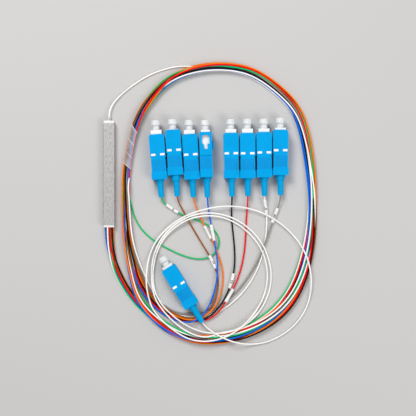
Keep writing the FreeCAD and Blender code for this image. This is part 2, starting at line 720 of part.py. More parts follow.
# the input: from the module into the large coil, from there up into the small loops, and
# from these in one wide loop to its connector
INPUT_JOIN = [(0, -SEAL_Y, SEAL_Z), (0, 36.0, SEAL_Z), (1.8, 41.2, 1.3), (6.2, 46.4, 0.6),
              (13.0, 52.1, LOW), (21.9, 58.0, LOW), (31.7, 62.0, LOW), (42.0, 64.3, LOW),
              (51.0, 64.0, 0.8)]
INPUT_CROSS = [(50.5, -96.5, 1.2), (43.8, -93.8, 1.4), (37.6, -88.9, 2.0),
               (32.6, -82.4, 2.3), (29.2, -75.8, 2.35)]
INPUT_LAST = [(40.4, -31.6, 2.35), (46.4, -26.8, 2.8), (53.6, -22.6, 3.3), (62.2, -19.6, 3.5),
              (72.8, -18.6, 3.5), (83.5, -20.2, 3.5), (94.0, -24.2, 3.3), (104.2, -31.1, 2.7),
              (112.8, -40.3, 2.4), (118.3, -51.5, 2.4), (120.1, -64.5, 1.5),
              (118.5, -76.4, 0.8), (113.1, -86.6, 0.6), (104.5, -94.5, 0.6),
              (94.3, -99.7, 0.8), (84.2, -101.6, 1.4), (74.8, -100.2, 2.6),
              (67.0, -96.6, 3.45), (60.9, -93.2, 3.4)]


def lead_route(column, row):
    """An output fibre from the module's seal down into the large coil."""
    top = SEAL_Z + row * number(size("lead_rows")) / 2
    end = LOW if row < 0 else OVER
    falls = [1.0, 1.0, 0.5, 0.1, 0.0, 0.0, 0.0]
    centre = [(x, y, end + (top - end) * fall) for (x, y), fall in zip(LEAD_IN, falls)]
    return beside(centre, number(size("lead_pitch")) * (column - 1.5))


def tail_route(name):
    """An output fibre from the large coil to its connector."""
    start = []
    if name in TRUNK_ORDER:
        lane = (len(TRUNK_ORDER) - 1) / 2 - TRUNK_ORDER.index(name)
        start = beside(TRUNK, lane * (2 * RADIUS + number(size("fibre_gap"))))
    return start + TAILS[name] + into_boot(name)


def make_number_sleeve(name):
    """A white sleeve round one run of an output fibre."""
    place_x, place_y = SLEEVE_AT[name]
    points = [Vector(*point) for point in TAILS[name]]
    start, end = min(zip(points, points[1:]), key=lambda run: math.hypot(
        (run[0].x + run[1].x) / 2 - place_x, (run[0].y + run[1].y) / 2 - place_y))
    along = (end - start).normalize()
    length = number(size("sleeve_length"))
    foot = (start + end) * 0.5 - along * (length / 2)
    outer = Part.makeCylinder(number(size("sleeve_radius")), length, foot, along)
    bore = Part.makeCylinder(RADIUS + number(size("bore_fit")), length, foot, along)
    return outer.cut(bore)


def make_fibres():
    nodes = []
    for name in TAILS:
        nodes.append(make_cord("output_fibre_" + name,
                               [lead_route(*LEAD_PLACES[name]), tail_route(name)]))
    nodes.append(make_cord("input_fibre", [INPUT_JOIN, INPUT_CROSS,
                                           INPUT_LAST + into_boot("input")]))
    sleeves = doc.addObject("Part::Feature", "number_sleeves")
    sleeves.Shape = Part.makeCompound([make_number_sleeve(name) for name in TAILS])
    nodes.append(sleeves)
    return nodes


# ---------------------------------------------------------------- coils and film
# middle of the large coil, anticlockwise: x, y and half its width there
COIL = [(9.9, -18.4, 2.5), (10.7, -36.1, 3.1), (13.3, -53.9, 4.0), (19.5, -74.6, 5.6),
        (34.0, -89.4, 4.0), (51.8, -97.1, 3.7), (75.2, -95.6, 4.4), (96.5, -85.2, 6.7),
        (110.4, -68.7, 7.4), (118.1, -45.0, 4.4), (120.5, -18.4, 2.6), (118.9, 7.1, 3.3),
        (113.8, 31.5, 3.6), (104.0, 46.5, 3.3), (84.1, 60.7, 3.3), (61.0, 63.6, 3.4),
        (39.7, 58.0, 2.6), (25.5, 45.9, 2.9), (16.6, 31.4, 2.1), (12.1, 14.2, 2.2),
        (10.1, -1.2, 2.4)]


def coil_edge(side, extra):
    """One closed edge of the large coil: side is +1 for the outer, -1 for the inner."""
    points = []
    for index, (middle_x, middle_y, half) in enumerate(COIL):
        before, after = COIL[index - 1], COIL[(index + 1) % len(COIL)]
        run = Vector(after[0] - before[0], after[1] - before[1], 0).normalize()
        outward = Vector(run.y, -run.x, 0)
        points.append(Vector(middle_x, middle_y, 0) + outward * (side * (half + extra)))
    curve = Part.BSplineCurve()
    curve.interpolate(Points=points, PeriodicFlag=True)
    return Part.Wire(curve.toShape())


def coil_solid(height, extra=0):
    """The large coil's outer shape as one solid, grown sideways by extra."""
    outer = Part.Face(coil_edge(1, extra))
    inner = Part.Face(coil_edge(-1, extra))
    return outer.cut(inner).Faces[0].extrude(Vector(0, 0, height))


def make_output_coil():
    coil = doc.addObject("Part::Feature", "output_coil")
    coil.Shape = coil_solid(number(size("coil_height")))
    return coil


def make_bundle_wrap():
    """Clear film round the large coil beside the module, open below where it lies flat."""
    height, fit = number(size("coil_height")), number(size("film_fit"))
    wall = number(size("film_wall"))
    around = coil_solid(height + fit + wall, fit + wall)
    within = coil_solid(height + fit, fit)
    length = number(size("film_length"))
    window = Part.makeBox(ROW_LEFT, length, 2 * height,
                          Vector(0, number(size("film_middle")) - length / 2, 0))
    film = doc.addObject("Part::Feature", "bundle_wrap")
    film.Shape = around.common(window).cut(within).Solids[0]
    return film


def make_input_coil():
    """The small loops of the input, a flat ring on top of the fibres below."""
    rings = []
    for which in ("outer", "inner"):
        ring = doc.addObject("Part::Cylinder", "input_coil_" + which + "_edge")
        bind(ring, "Radius", size("input_coil_" + which))
        bind(ring, "Height", size("input_coil_height"))
        bind(ring, "Placement.Base.x", size("input_coil_x"))
        bind(ring, "Placement.Base.y", size("input_coil_y"))
        bind(ring, "Placement.Base.z", size("coil_height") + size("coil_gap"))
        rings.append(ring)
    coil = doc.addObject("Part::Cut", "input_coil")
    coil.Base, coil.Tool = rings
    return coil


def make_strain_relief():
    """A short soft sleeve round the input fibre where it leaves the module."""
    bore = size("fibre_radius") + size("bore_fit")
    form = turned_body("relief_form", [
        (bore, 0), (size("relief_radius"), 0), (size("relief_radius"), size("relief_length")),
        (bore, size("relief_length"))])
    relief = doc.addObject("Part::Compound", "input_strain_relief")
    relief.Links = [form]
    relief.Placement = Placement(Vector(0, -SEAL_Y, SEAL_Z), Rotation())
    bind(relief, "Placement.Base.y", seal_outer_y)
    bind(relief, "Placement.Base.z", size("tube_height") / 2)
    return relief


# ---------------------------------------------------------------- checks and files
def check_document():
    doc.recompute()
    for thing in doc.Objects:
        if "Invalid" in thing.State or "Error" in thing.State:
            raise ValueError("%s is %s" % (thing.Name, thing.State))


def write_node(node):
    node.Label = node.Name
    shape = node.Shape
    if shape.isNull() or not shape.isValid() or not shape.Solids:
        raise ValueError(node.Label + " has no valid solid")
    shape.exportStep("parts/%s.step" % node.Label)


def main():
    nodes = make_module()
    nodes.append(make_strain_relief())
    nodes += make_connectors()
    nodes += make_fibres()
    nodes += [make_output_coil(), make_input_coil(), make_bundle_wrap()]
    check_document()
    os.makedirs("parts", exist_ok=True)
    for node in nodes:
        write_node(node)
    print(len(nodes), "nodes written")


main()
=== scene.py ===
"""The looks of the one-to-eight fibre splitter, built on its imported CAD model.

Frame: metres, +Z up, as in the CAD model. Tables are in millimetres and become metres where
objects are made. The eight output fibres and the input fibre are free cords: the outputs run
nearly twice round the large coil, the input half a turn the other way and then round its own
small loops.
"""
import math

import bmesh
import bpy
import numpy as np
from mathutils import Matrix, Vector
from mathutils.kdtree import KDTree
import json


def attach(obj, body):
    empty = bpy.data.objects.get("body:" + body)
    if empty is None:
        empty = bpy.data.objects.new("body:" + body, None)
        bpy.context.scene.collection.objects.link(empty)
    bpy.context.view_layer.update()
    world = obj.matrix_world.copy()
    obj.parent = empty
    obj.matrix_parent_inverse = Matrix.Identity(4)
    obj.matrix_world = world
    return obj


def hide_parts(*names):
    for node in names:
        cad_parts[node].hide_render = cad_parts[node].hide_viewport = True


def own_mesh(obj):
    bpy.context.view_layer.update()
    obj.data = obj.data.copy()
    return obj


MM = 0.001
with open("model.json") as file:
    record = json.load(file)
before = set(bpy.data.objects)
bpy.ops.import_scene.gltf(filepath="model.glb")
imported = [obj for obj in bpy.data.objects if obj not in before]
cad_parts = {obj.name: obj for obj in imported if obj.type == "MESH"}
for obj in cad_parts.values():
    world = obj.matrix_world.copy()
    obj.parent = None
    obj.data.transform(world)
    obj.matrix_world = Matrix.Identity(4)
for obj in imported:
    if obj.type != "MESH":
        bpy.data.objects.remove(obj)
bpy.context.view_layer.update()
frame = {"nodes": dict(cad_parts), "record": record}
scene = bpy.context.scene


def add_object(name, data):
    """A new object in the scene."""
    thing = bpy.data.objects.new(name, data)
    scene.collection.objects.link(thing)
    return thing


# ---------------------------------------------------------------- colours and node materials
COLOURS = {
    "green": (0.002, 0.520, 0.150), "brown": (0.340, 0.100, 0.010),
    "orange": (0.960, 0.210, 0.002), "blue": (0.002, 0.140, 0.720),
    "black": (0.003, 0.003, 0.004), "red": (0.860, 0.002, 0.003),
    "white": (0.960, 0.940, 0.910), "grey": (0.290, 0.268, 0.245),
}
HOUSING_BLUE = (0.000, 0.345, 0.740)
BOOT_BLUE = (0.000, 0.355, 0.700)
NOISE_LOW, NOISE_HIGH = 0.3, 0.7        # most of a noise texture's values lie between these


def new_material(name):
    """A node material, its node tree and its Principled shader."""
    material = bpy.data.materials.new(name)
    material.use_nodes = True
    return material, material.node_tree, material.node_tree.nodes["Principled BSDF"]


def noise(tree, scale, detail, stretch=None):
    """Noise in object space, in grains per metre; stretch scales its three axes."""
    place = tree.nodes.new("ShaderNodeTexCoord")
    texture = tree.nodes.new("ShaderNodeTexNoise")
    texture.inputs["Scale"].default_value = scale
    texture.inputs["Detail"].default_value = detail
    source = place.outputs["Object"]
    if stretch:
        mapping = tree.nodes.new("ShaderNodeMapping")
        mapping.inputs["Scale"].default_value = stretch
        tree.links.new(source, mapping.inputs["Vector"])
        source = mapping.outputs["Vector"]
    tree.links.new(source, texture.inputs["Vector"])
    return texture.outputs["Fac"]


def ramp(tree, factor, stops):
    """A colour ramp; stops are (place, colour)."""
    node = tree.nodes.new("ShaderNodeValToRGB")
    for element, (place, colour) in zip(node.color_ramp.elements, (stops[0], stops[-1])):
        element.position = place
        element.color = (*colour, 1)
    for place, colour in stops[1:-1]:
        element = node.color_ramp.elements.new(place)
        element.color = (*colour, 1)
    tree.links.new(factor, node.inputs["Fac"])
    return node.outputs["Color"]


def span(tree, factor, low, high):
    """A noise value brought to low..high."""
    node = tree.nodes.new("ShaderNodeMapRange")
    node.inputs["From Min"].default_value = NOISE_LOW
    node.inputs["From Max"].default_value = NOISE_HIGH
    node.inputs["To Min"].default_value = low
    node.inputs["To Max"].default_value = high
    tree.links.new(factor, node.inputs["Value"])
    return node.outputs["Result"]


def bump(tree, shader, height, depth, strength):
    """Bumps in the shader's surface, depth metres high."""
    node = tree.nodes.new("ShaderNodeBump")
    node.inputs["Strength"].default_value = strength
    node.inputs["Distance"].default_value = depth
    tree.links.new(height, node.inputs["Height"])
    tree.links.new(node.outputs["Normal"], shader.inputs["Normal"])


def tint(colour, factor):
    """A colour made lighter or darker."""
    return tuple(min(1.0, channel * factor) for channel in colour)


def plastic(name, colour, rough, grain=2600, depth=0.00002, spread=0.10, shine=0.35,
            metallic=0.0):
    """Moulded plastic: a faint drift of colour, an uneven gloss and a fine moulded grain."""
    material, tree, shader = new_material(name)
    drift = noise(tree, 160, 3)
    tree.links.new(ramp(tree, drift, [(NOISE_LOW, tint(colour, 1 - spread)),
                                      (NOISE_HIGH, tint(colour, 1 + spread))]),
                   shader.inputs["Base Color"])
    fine = noise(tree, grain, 6)
    tree.links.new(span(tree, fine, rough - 0.06, rough + 0.08), shader.inputs["Roughness"])
    bump(tree, shader, fine, depth, 0.5)
    shader.inputs["Specular IOR Level"].default_value = shine
    shader.inputs["Metallic"].default_value = metallic
    return material


def brushed_steel():
    """Drawn and tumbled steel: fine scratches along the tube and a faint mottled grain."""
    material, tree, shader = new_material("steel_brushed")
    mottled = noise(tree, 1500, 8, (1.0, 0.35, 1.0))
    tree.links.new(ramp(tree, mottled, [(0.32, (0.39, 0.38, 0.37)), (0.5, (0.48, 0.47, 0.46)),
                                        (0.70, (0.58, 0.57, 0.56))]),
                   shader.inputs["Base Color"])
    scratch = noise(tree, 5200, 5, (1.0, 0.06, 1.0))
    tree.links.new(span(tree, scratch, 0.50, 0.68), shader.inputs["Roughness"])
    shader.inputs["Metallic"].default_value = 0.80
    bump(tree, shader, scratch, 0.00002, 0.5)
    return material


def clear_plastic(name, colour, rough, through, ior=1.5):
    """Frosted clear plastic, such as the dust caps."""
    material, tree, shader = new_material(name)
    fine = noise(tree, 1800, 5)
    tree.links.new(ramp(tree, fine, [(NOISE_LOW, tint(colour, 0.97)), (NOISE_HIGH, colour)]),
                   shader.inputs["Base Color"])
    tree.links.new(span(tree, fine, rough - 0.05, rough + 0.08), shader.inputs["Roughness"])
    shader.inputs["Transmission Weight"].default_value = through
    shader.inputs["IOR"].default_value = ior
    bump(tree, shader, fine, 0.00002, 0.4)
    return material


def film(name, colour, low, high):
    """Thin clear wrapping film: seen through, with a white haze and soft creases."""
    material, tree, shader = new_material(name)
    crease = noise(tree, 420, 4, (1.0, 0.35, 1.0))
    tree.links.new(ramp(tree, crease, [(NOISE_LOW, tint(colour, 0.94)), (NOISE_HIGH, colour)]),
                   shader.inputs["Base Color"])
    tree.links.new(span(tree, crease, low, high), shader.inputs["Alpha"])
    shader.inputs["Roughness"].default_value = 0.24
    bump(tree, shader, crease, 0.00008, 0.5)
    return material


materials = {
    "steel_tube": brushed_steel(),
    "end_seals": plastic("seal_white", (0.78, 0.775, 0.76), 0.55, 1500, 0.00005),
    "input_strain_relief": clear_plastic("relief_clear", (0.93, 0.93, 0.92), 0.30, 0.55),
    "carrier_plate": plastic("carrier_metal", (0.50, 0.50, 0.48), 0.4, metallic=0.9),
    "glass": clear_plastic("chip_glass", (0.90, 0.95, 0.96), 0.12, 0.9),
    "bare_fibre": clear_plastic("bare_glass", (0.95, 0.95, 0.95), 0.10, 0.8, 1.46),
    "grip": plastic("housing_blue", HOUSING_BLUE, 0.45, 2400, 0.00002, 0.05, shine=0.06),
    "boots": plastic("boot_rubber", BOOT_BLUE, 0.50, 2000, 0.00003, 0.05, shine=0.06),
    "plug_frames": plastic("frame_white", (0.86, 0.86, 0.85), 0.38),
    "stop_bodies": plastic("stop_nickel", (0.62, 0.60, 0.55), 0.3, metallic=1.0),
    "ferrule_springs": plastic("spring_steel", (0.60, 0.60, 0.60), 0.3, metallic=1.0),
    "ferrule": plastic("zirconia_white", (0.90, 0.89, 0.87), 0.18, 4000, 0.000004),
    "dust_cap": clear_plastic("cap_frosted", (0.90, 0.92, 0.93), 0.30, 0.22),
    # painted shade: a blue a little darker than the housing's, laid as thin lines in the grips'
    # rib grooves
    "rib_shade": plastic("rib_shade_blue", (0.000, 0.335, 0.725), 0.6, 2400, 0.00001, 0.05),
    "mark": plastic("mark_white", (0.92, 0.92, 0.92), 0.5, 2400, 0.00001, 0.02),
    "film": film("film_clear", (0.93, 0.89, 0.87), 0.13, 0.26),
    "film_edge": film("film_edge", (0.95, 0.93, 0.92), 0.45, 0.70),
}
for colour_name, colour in COLOURS.items():
    materials[colour_name] = plastic("jacket_" + colour_name, colour, 0.42, 3000, 0.00001, 0.05,
                                     shine=0.10)
materials["sleeve"] = plastic("sleeve_white", (0.88, 0.86, 0.83), 0.48, 2600, 0.00002)
materials["ink"] = plastic("ink_dark", (0.030, 0.030, 0.035), 0.5)

NODE_LOOKS = {
    "steel_tube": "steel_tube", "end_seal_input": "end_seals", "end_seal_output": "end_seals",
    "input_strain_relief": "input_strain_relief", "carrier_plate": "carrier_plate",
    "splitter_chip": "glass", "chip_lid": "glass", "input_fibre_array": "glass",
    "output_fibre_array": "glass", "bare_input_fibre": "bare_fibre",
    "ribbon_fibres": "bare_fibre", "plug_frames": "plug_frames", "boots": "boots",
    "stop_bodies": "stop_bodies", "ferrule_springs": "ferrule_springs",
}


def dress(thing, look):
    """Gives an object one material, in every slot that it has."""
    if not thing.data.materials:
        thing.data.materials.append(None)
    for place in thing.material_slots:
        place.material = materials[look]


# ---------------------------------------------------------------- the routes, as in the CAD
RADIUS = 0.45
LOW = RADIUS                # centre of a fibre on the floor
OVER = 1.42                 # centre of one over another
SLEEVE_RADIUS = 0.95
OUTPUTS = ["green", "brown", "orange", "blue", "black", "red", "white", "grey"]
# x and y of each plug frame's front, lean to the left in degrees, and the grip's setback
CONNECTORS = {
    "green": (28.0, 25.8, 4.4, 2.4), "brown": (37.8, 26.4, 3.8, 0.3),
    "orange": (47.6, 25.9, 3.4, 2.4), "blue": (57.0, 25.8, 1.8, 1.2),
    "black": (72.0, 26.4, 1.1, 2.2), "red": (81.8, 26.6, 0.5, 2.4),
    "white": (91.5, 26.7, 0.7, 2.0), "grey": (101.2, 27.2, 0.4, 1.2),
    "input": (34.3, -53.9, 31.8, 1.3),
}
# along a connector from its frame's front: its boot's end, then how far the fibre runs straight
# out of the boot, and how far inside it ends
BOOT_END, STRAIGHT_OUT, IN_BOOT = 39.7, 2.5, 2.0
USUAL_BOOT_HEIGHTS = (2.95, 3.2)            # of a fibre behind its boot and inside it
BOOT_HEIGHTS = {"blue": (4.6, 4.6)}

# the leads, from the module to where they join the coil: their middle line, and the share of
# their height in the seal that they keep at each point; their pitch and their rows' distance
LEAD_IN = [(0, -31.6), (0, -37.5), (1.3, -46.8), (4.1, -56.2), (8.6, -65.7),
           (14.8, -74.6), (21.9, -81.7)]
LEAD_FALLS = [1.0, 1.0, 0.5, 0.1, 0.0, 0.0, 0.0]
LEAD_PITCH, LEAD_ROWS, SEAL_Z = 1.3, 1.4, 2.0
LEAD_MIDDLE = 1.5                       # the column that runs along LEAD_IN
# for each output its column from the outer side, at the module and where the lead joins the
# coil, and its rows there, upper (1) or lower (-1)
LEAD_PLACES = {"green": (2.6, 0.45, -1, 1), "brown": (1.2, 2.9, -1, -1),
               "orange": (3.4, 2.2, -1, -1), "blue": (-0.1, 0.75, -1, -1),
               "black": (3.0, 2.6, 1, 1), "red": (1.95, 1.5, 1, 1),
               "white": (0.9, 0.0, 1, -1), "grey": (0.6, 1.5, -1, -1)}
SWAP = [0, 0, 0.45, 1, 1, 1, 1]         # how far a lead has changed column and row by then
# the middle line of the outputs that leave the coil together, and these from the inner side
TRUNK = [(18.4, -62.8, LOW), (24.0, -72.5, LOW), (31.4, -80.2, LOW), (40.3, -85.0, LOW)]
TRUNK_ORDER = ["grey", "brown", "orange", "black", "red", "blue"]
TRUNK_PITCH = 0.95
LEAVES = {"green": 18.0, "white": 17.0}     # where in the second turn these leave the coil
# the outputs in the order in which their tails are laid down, one over another
LAID_ORDER = ["white", "green", "grey", "red", "black", "orange", "brown", "blue"]
# the rest of each output's way to its boot, x and y
TAILS = {
    "green": [(14.6, -24.4), (18.2, -31.9), (25.4, -38.9),
              (34.4, -44.2), (43.6, -48.5), (52.6, -50.8), (59.7, -49.6), (64.6, -44.9),
              (65.6, -38.6), (62.4, -32.8), (56.4, -28.9), (50.2, -26.6), (44.4, -24.7),
              (39.3, -22.0), (35.0, -18.8)],
    "brown": [(47.6, -85.8), (54.9, -83.6), (60.8, -78.6), (63.6, -72.0), (64.9, -65.0),
              (63.9, -57.8), (60.4, -49.8), (55.8, -42.4), (51.1, -34.8), (46.9, -27.2),
              (43.2, -20.4)],
    "orange": [(48.0, -86.8), (55.8, -85.1), (61.6, -80.2), (65.4, -73.6), (67.4, -66.0),
               (67.6, -58.4), (66.0, -51.0), (63.2, -44.0), (59.9, -37.4), (56.2, -30.4),
               (53.2, -23.4)],
    "blue": [(48.9, -88.0), (54.4, -84.6), (58.4, -79.6), (61.2, -73.6), (63.0, -67.2),
             (64.1, -60.4), (64.3, -53.0), (63.3, -45.4), (62.0, -37.8), (60.4, -30.2),
             (59.1, -22.8)],
    "black": [(48.6, -87.2), (57.2, -86.2), (63.6, -81.0), (68.2, -74.4), (71.6, -67.2),
              (73.8, -59.2), (74.6, -50.8), (74.2, -42.0), (73.2, -33.0), (72.4, -24.6)],
    "red": [(49.4, -87.6), (58.4, -86.8), (65.6, -81.4), (70.2, -73.8), (74.0, -67.2),
            (76.9, -60.4), (79.0, -53.0), (80.4, -44.8), (81.0, -36.2), (81.2, -28.4),
            (81.8, -21.4)],
    "white": [(11.4, -7.6), (12.0, -15.4), (12.4, -23.6), (13.0, -32.4), (14.6, -42.0),
              (17.7, -51.8), (21.5, -61.2), (26.0, -69.8), (31.8, -77.2), (39.3, -82.8),
              (47.8, -85.0), (56.4, -84.6), (63.2, -82.4), (69.4, -79.0), (75.2, -74.4),
              (80.4, -68.8), (84.9, -62.4), (88.3, -55.6), (90.9, -48.0), (92.6, -39.8),
              (93.5, -31.2), (93.4, -22.8)],
    "grey": [(47.8, -83.0), (55.4, -82.0), (62.6, -79.6), (69.2, -75.8), (75.2, -70.6),
             (80.4, -64.2), (85.0, -57.2), (88.8, -50.0), (91.8, -42.6), (94.4, -35.2),
             (97.0, -27.6), (99.9, -20.4)],
}
# where each number sleeve starts and ends, and how far its figures are turned, in degrees
SLEEVES = {
    "green": ((33.6, -17.6), (40.8, -22.8), 5), "brown": ((59.2, -47.4), (63.3, -56.0), 48),
    "orange": ((56.0, -30.2), (60.3, -38.4), 140), "blue": ((60.4, -30.2), (62.1, -39.4), 165),
    "black": ((73.9, -58.6), (71.2, -67.6), 8), "red": ((73.5, -67.9), (69.0, -75.6), 150),
    "white": ((92.4, -14.6), (93.4, -23.6), -6), "grey": ((99.5, -19.8), (96.4, -28.6), 4),
}

# the input from the module to the coil
INPUT_JOIN = [(0, 31.6, SEAL_Z), (0, 36.0, SEAL_Z), (1.8, 41.2, 1.3), (6.2, 46.4, 0.6),
              (13.0, 52.1, LOW), (21.9, 58.0, LOW), (31.7, 62.0, LOW), (42.0, 64.3, LOW)]
# the two small loops of the input, clockwise, and the wide one to its connector
INPUT_LOOPS = [
    (56.8, -97.1), (46.2, -93.5), (37.3, -86.8), (31.1, -79.9), (27.4, -74.0), (25.5, -66.9),
    (24.9, -58.0), (26.2, -48.5), (29.8, -39.6), (36.4, -31.8), (45.6, -25.6), (55.6, -22.8),
    (66.3, -23.4), (77.0, -27.5), (85.8, -34.6), (92.4, -43.8), (95.9, -54.5), (96.2, -65.1),
    (93.2, -75.2), (87.3, -84.1), (78.7, -90.9), (68.1, -94.4), (56.8, -94.1), (48.0, -90.9),
    (41.4, -86.8), (33.4, -79.9), (29.0, -74.0), (26.3, -66.9), (25.8, -58.0), (27.5, -48.5),
    (31.0, -39.8), (37.2, -32.8), (46.4, -26.7), (57.0, -24.4), (67.2, -25.3), (76.6, -29.6),
    (84.6, -36.5), (90.6, -44.7), (93.8, -55.1), (93.8, -65.7), (90.6, -75.8), (84.4, -85.0),
    (76.4, -92.4), (66.9, -97.4), (56.8, -99.2), (47.4, -97.7), (39.7, -93.5), (31.4, -86.8),
    (25.8, -79.9), (23.7, -74.0), (22.2, -65.7), (22.1, -58.0), (23.7, -48.5), (27.8, -39.1),
    (35.4, -31.0), (44.9, -24.6), (56.8, -20.6), (69.9, -18.6), (83.5, -20.2), (94.0, -24.2),
    (104.2, -31.1), (112.8, -40.3), (118.3, -51.5), (120.1, -64.5), (118.5, -76.4),
    (113.1, -86.6), (104.5, -94.5), (94.3, -99.7), (84.2, -101.2), (74.8, -99.7),
    (67.0, -96.6), (60.9, -93.2),
]


def number_of(name):
    """A connector's number in the names of the CAD model: 1 to 8, or input."""
    return "input" if name == "input" else str(OUTPUTS.index(name) + 1)


def trunk_lane(name):
    """How far an output is to the left of the trunk's middle, in pitches."""
    return (len(TRUNK_ORDER) - 1) / 2 - TRUNK_ORDER.index(name)


def beside(points, offset):
    """The same route, moved sideways; a positive offset is to the left of the travel."""
    moved = []
    for index, point in enumerate(points):
        before = points[max(index - 1, 0)]
        after = points[min(index + 1, len(points) - 1)]
        run_x, run_y = after[0] - before[0], after[1] - before[1]
        run = math.hypot(run_x, run_y)
        moved.append((point[0] - run_y / run * offset, point[1] + run_x / run * offset,
                      *point[2:]))
    return moved


def into_boot(name):
    """The last two points of a fibre: straight behind its boot, and inside the boot."""
    front_x, front_y, lean, _ = CONNECTORS[name]
    lean = math.radians(lean)
    points = []
    for back, height in zip((BOOT_END + STRAIGHT_OUT, BOOT_END - IN_BOOT),
                            BOOT_HEIGHTS.get(name, USUAL_BOOT_HEIGHTS)):
        points.append((front_x + back * math.sin(lean), front_y - back * math.cos(lean), height))
    return points


# ---------------------------------------------------------------- the large coil
# Each section of the coil: x and y of its middle, half its width, and the fibres in it from
# the inner side to the outer, by the first letter of the colour (n is brown, k is black and y
# is grey). Capitals are a fibre's first turn, small letters its second. Each turn takes the
# share of the half width from its low to its high, and the last letters are those on top. The
# first turn starts after the first section.
COIL = [
    (19.5, -74.6, 5.6, None, (-.70, .28, "ygknwrob"), "nrob"),
    (34.0, -89.4, 4.0, (-.80, .60, "WOYNBGRK"), (-.95, .95, "gyknwrob"), "wob"),
    (51.8, -97.1, 3.7, (-.50, .60, "OGKRWYBN"), (-.80, .95, "wgybkrno"), "obkg"),
    (75.2, -95.6, 4.4, (-.95, .10, "GOWRKYBN"), (-.35, .95, "wgbyrnko"), "wbgok"),
    (96.5, -85.2, 6.7, (-.95, -.08, "GWORKBYN"), (.05, .95, "wgborynk"), "wbork"),
    (110.4, -68.7, 7.4, (-.96, -.06, "GWORKBYN"), (.06, .96, "wgborynk"), "wbork"),
    (118.1, -45.0, 4.4, (-.95, .10, "GWRKOBYN"), (-.20, .95, "gbyornwk"), "grwk"),
    (120.5, -18.4, 2.6, (-.90, .70, "GBWRKYNO"), (-.90, .95, "gbkrwoyn"), "gkwn"),
    (118.9, 7.1, 3.3, (-.85, .65, "BGWKRYNO"), (-.90, .95, "bkwryngo"), "bkwgo"),
    (113.8, 31.5, 3.6, (-.85, .75, "BWKRYNOG"), (-.90, .98, "bkwyrnog"), "bkwog"),
    (104.0, 46.5, 3.3, (-.85, .70, "WBKYNROG"), (-.95, .95, "wbkygron"), "wbkro"),
    (84.1, 60.7, 3.3, (-.85, .70, "WBGKYRON"), (-.95, .95, "wbgkyron"), "wbgkro"),
    (61.0, 63.6, 3.4, (-.85, .75, "WBKYGNRO"), (-.95, .95, "wbkgynro"), "wbkyro"),
    (39.7, 58.0, 2.6, (-.95, .45, "GWKYNBRO"), (-.80, .95, "wbykonrg"), "wkrog"),
    (25.5, 45.9, 2.9, (-.95, .50, "GYKNWBRO"), (-.90, .95, "orwbykng"), "orwkng"),
    (16.6, 31.4, 2.1, (-.90, .60, "GYKBNWRO"), (-.90, .95, "rbokywng"), "rbkng"),
    (12.1, 14.2, 2.2, (-.60, .95, "YKBWNGRO"), (-.95, .50, "rwbgokyn"), "rbknO"),
    (10.1, -1.2, 2.4, (-.30, .90, "YKBWNGRO"), (-.90, .40, "rwgboykn"), "rbknO"),
    (9.9, -18.4, 2.5, (-.30, .93, "YKBWNGRO"), (-.98, .62, "wgyrbkno"), "wyknO"),
    (10.7, -36.1, 3.1, (-.45, .93, "YKWNGBRO"), (-.80, .40, "wgbroykn"), "yknOR"),
    (13.3, -53.9, 4.0, (-.15, .97, "YNKWGROB"), (-.98, .02, "wgrboykn"), "yknROB"),
]
LETTERS = "gnobkrwy"
LAST = len(COIL) - 1        # the section where the second turn ends in the trunk
LEVEL = 0.8                 # from one level of fibres in the coil to the next
# the input in the coil: section, how far out from the coil's middle, and its height
INPUT_LANE = [(12.5, 2.2, 0.5), (12.0, -0.8, 0.5), (11.5, -3.6, LOW), (11.0, -4.9, LOW),
              (10.0, -4.9, LOW), (9.5, -4.3, LOW), (9.0, -3.2, LOW),
              (8.0, 0.0, 4.0), (7.0, 0.3, 4.0), (6.0, -0.3, 4.0),
              (5.0, -0.5, 3.0), (4.0, -2.2, 3.0), (3.0, -3.2, 3.0), (2.5, -3.4, 3.0)]
CUTS = 3                    # points of a fibre for each section of the coil
SPACING = 0.92              # least distance between two fibres' middles
# how far out the middle of the leads is where they join the coil, and how fast it comes in;
# the same for the trunk after the last section
LEADS_OUT, LEADS_DRIFT = 4.1, 2.4
TRUNK_OUT, TRUNK_DRIFT = -2.0, 1.8
# where green bends out of its second turn, how far out it is there, and how sharply it bends
GREEN_BEND, GREEN_OUT, GREEN_CURVE = 17, -0.4, 2.9
# Fibres settle in sweeps. In one sweep each gives way by a share of its overlaps, takes a share
# of the way back to its lane, sinks, and takes a share of the way to its neighbours' middle.
# The input returns faster, and sinks faster where it is not over the others. From one sweep on
# all only give way and ease.
SWEEPS, CALM_FROM = 500, 381
PUSH, RETURN, SINK, EASE = 0.32, 0.03, 0.012, 0.22
INPUT_RETURN, INPUT_SINK = 0.05, 0.05
LEAST_GAP = 0.05            # between two middles, when one fibre pushes another


def between(values, place):
    """Values at whole places of a closed ring, smoothly in between."""
    first = math.floor(place)
    share = place - first
    a, b, c, d = (values[(first + step) % len(values)] for step in (-1, 0, 1, 2))
    return 0.5 * (2 * b + (c - a) * share + (2 * a - 5 * b + 4 * c - d) * share ** 2
                  + (3 * b - a - 3 * c + d) * share ** 3)


def run_at(place):
    """The coil's direction at any place, not of unit length."""
    return between(middles, place + 0.1) - between(middles, place - 0.1)


middles = np.array([section[:2] for section in COIL])
halves = np.array([section[2] for section in COIL])
PLACES = np.arange(len(COIL) * CUTS) / CUTS
ring_middle = np.array([between(middles, place) for place in PLACES])
ring_half = np.array([between(halves, place) for place in PLACES])
ring_run = np.array([run_at(place) for place in PLACES])
ring_run /= np.linalg.norm(ring_run, axis=1)[:, None]
ring_out = np.stack([ring_run[:, 1], -ring_run[:, 0]], axis=1)


